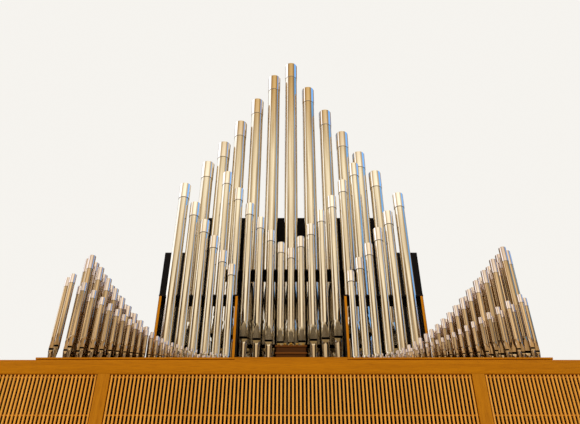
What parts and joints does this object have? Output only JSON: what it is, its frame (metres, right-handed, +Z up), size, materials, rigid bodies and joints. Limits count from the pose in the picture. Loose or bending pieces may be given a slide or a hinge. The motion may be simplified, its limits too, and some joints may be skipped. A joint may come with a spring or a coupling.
{
  "type": "pipe organ",
  "caption": "Pipe organ with a slatted oak lower case, open pipe field in stepped rows, side towers, rack boards and dark rear boxes.",
  "frame": {"origin": "on the floor under the middle of the plinth", "axes": "+Z up; -Y is the front, with the slats and the mouths of the pipes; +X to the right as seen from the front"},
  "size_m": [5.993, 2.05, 8.8],
  "materials": {
    "oak": "satin lacquered oak",
    "inner_wood": "plain dark stained wood",
    "pipe_metal": "polished tin, soft mirror",
    "black_paint": "matt black paint",
    "bell_brass": "polished brass"
  },
  "bodies": {
    "root": {"base_plinth": "oak", "side_wall_left": "oak", "side_wall_right": "oak", "back_wall": "oak", "deck": "inner_wood", "post_outer_left": "oak", "post_inner_left": "oak", "post_inner_right": "oak", "post_outer_right": "oak", "impost_rail": "oak", "slats_left": "oak", "slats_centre": "oak", "slats_right": "oak", "grille_battens": "oak", "grille_lining": "black_paint", "flank_chest_left": "inner_wood", "flank_chest_right": "inner_wood", "flank_toe_board_left": "oak", "flank_toe_board_right": "oak", "flank_front_pipes_left": "pipe_metal", "flank_front_pipes_right": "pipe_metal", "flank_rear_pipes_left": "pipe_metal", "flank_rear_pipes_right": "pipe_metal", "flank_back_pipes_left": "pipe_metal", "flank_back_pipes_right": "pipe_metal", "tower_chest_left": "inner_wood", "tower_chest_right": "inner_wood", "tower_pipes_left": "pipe_metal", "tower_pipes_right": "pipe_metal", "panel_outer_left": "oak", "panel_inner_left": "oak", "panel_inner_right": "oak", "panel_outer_right": "oak", "tower_rack_left": "black_paint", "tower_rack_right": "black_paint", "middle_front_board": "oak", "main_chest": "inner_wood", "middle_pipes": "pipe_metal", "middle_rack": "black_paint", "rack_post_left": "black_paint", "rack_post_right": "black_paint", "rear_pipes": "pipe_metal", "swell_box_centre": "black_paint", "swell_box_left": "black_paint", "swell_box_right": "black_paint", "bell_box": "inner_wood", "bells": "bell_brass"}
  },
  "joints": []
}
